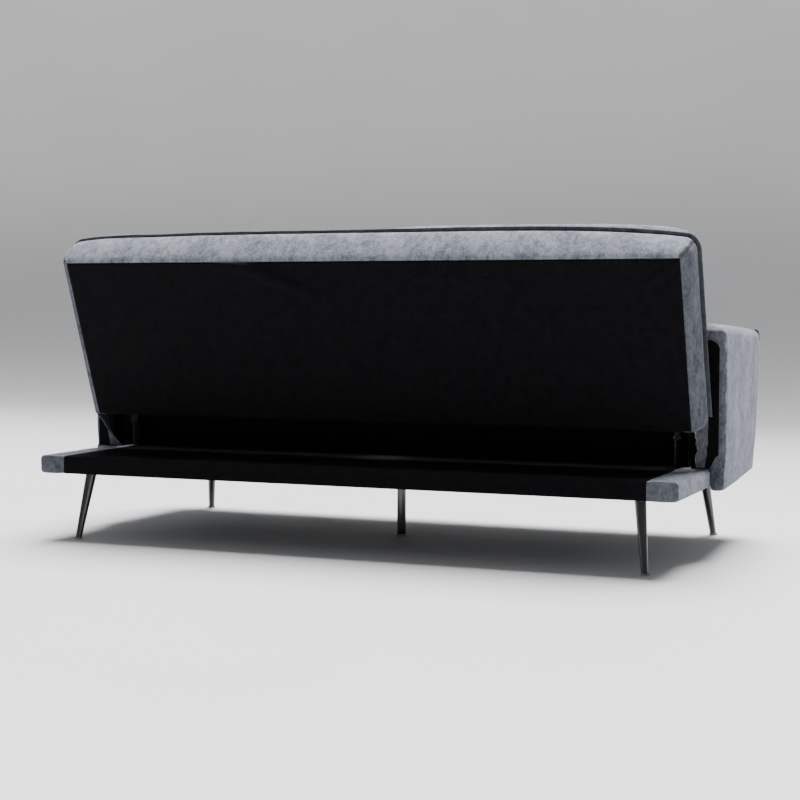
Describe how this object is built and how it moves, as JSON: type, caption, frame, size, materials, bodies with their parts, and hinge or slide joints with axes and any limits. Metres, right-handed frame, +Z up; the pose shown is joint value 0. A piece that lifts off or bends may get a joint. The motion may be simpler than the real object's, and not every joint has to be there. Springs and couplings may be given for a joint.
{
  "type": "futon sofa bed",
  "caption": "Upholstered click-clack sofa bed with padded arms, slim slab base on splayed metal legs, and a backrest that folds down flat behind the seat.",
  "frame": {"origin": "on the floor under the middle of the sofa, at the centre of its plan outline", "axes": "+X to the sitter's left along the sofa, -Y the side people sit from, +Z up"},
  "size_m": [1.78, 0.8, 0.8074],
  "materials": {
    "velvet": "blue-grey mottled velvet, soft sheen",
    "velvet_dark": "dark grey velvet seam flange",
    "black_cloth": "matt woven black dust cloth",
    "webbing": "black elastic webbing",
    "timber": "planed softwood and plywood, unfinished",
    "leg_metal": "gloss black enamel",
    "hinge_steel": "black painted steel plate",
    "bright_steel": "zinc plated steel",
    "glide_plastic": "grey translucent plastic"
  },
  "bodies": {
    "base": {"arm_bolts": "bright_steel", "arm_left_cloth": "black_cloth", "arm_left_frame": "timber", "arm_left_padding": "velvet", "arm_right_cloth": "black_cloth", "arm_right_frame": "timber", "arm_right_padding": "velvet", "base_cloth": "black_cloth", "base_corner_blocks": "timber", "base_deck": "timber", "base_dust_cover": "black_cloth", "base_front_rail": "timber", "base_left_cover": "velvet", "base_left_rail": "timber", "base_rear_rail": "timber", "base_right_cover": "velvet", "base_right_rail": "timber", "base_slats": "timber", "centre_leg": "leg_metal", "hinge_left_seat_plate": "hinge_steel", "hinge_right_seat_plate": "hinge_steel", "hinge_screws": "bright_steel", "leg_front_left": "leg_metal", "leg_front_right": "leg_metal", "leg_glides": "glide_plastic", "leg_plates": "leg_metal", "leg_rear_left": "leg_metal", "leg_rear_right": "leg_metal", "leg_screws": "bright_steel", "pawl_rivets": "bright_steel", "pawl_springs": "bright_steel", "seat_border": "velvet", "seat_centre_rail": "timber", "seat_cushion_left": "velvet", "seat_cushion_right": "velvet", "seat_front_rail": "timber", "seat_left_rail": "timber", "seat_rear_cloth": "black_cloth", "seat_rear_rail": "timber", "seat_right_rail": "timber", "seat_webbing": "webbing"},
    "back": {"back_bottom_rail": "timber", "back_centre_stile": "timber", "back_cloth": "black_cloth", "back_cushion_left": "velvet", "back_cushion_right": "velvet", "back_flange": "velvet_dark", "back_left_border": "velvet", "back_left_stile": "timber", "back_right_border": "velvet", "back_right_stile": "timber", "back_top_border": "velvet", "back_top_rail": "timber", "back_webbing": "webbing", "hinge_left_back_plate": "hinge_steel", "hinge_left_pin": "bright_steel", "hinge_right_back_plate": "hinge_steel", "hinge_right_pin": "bright_steel"},
    "left_pawl": {"hinge_left_pawl": "hinge_steel"},
    "right_pawl": {"hinge_right_pawl": "hinge_steel"}
  },
  "joints": [
    {"name": "back_hinge", "type": "hinge", "parent": "base", "child": "back", "pos_m": [0, 0.07522, 0.33936], "axis": [-1, 0, 0], "range_deg": [0, 71.7]},
    {"name": "left_pawl_pivot", "type": "hinge", "parent": "base", "child": "left_pawl", "pos_m": [0.7755, 0.07362, 0.2938], "axis": [1, 0, 0], "range_deg": [0, 15], "stiffness_Nm_per_rad": 0.05, "springref_deg": -20.05},
    {"name": "right_pawl_pivot", "type": "hinge", "parent": "base", "child": "right_pawl", "pos_m": [-0.7755, 0.07362, 0.2938], "axis": [1, 0, 0], "range_deg": [0, 15], "stiffness_Nm_per_rad": 0.05, "springref_deg": -20.05}
  ]
}
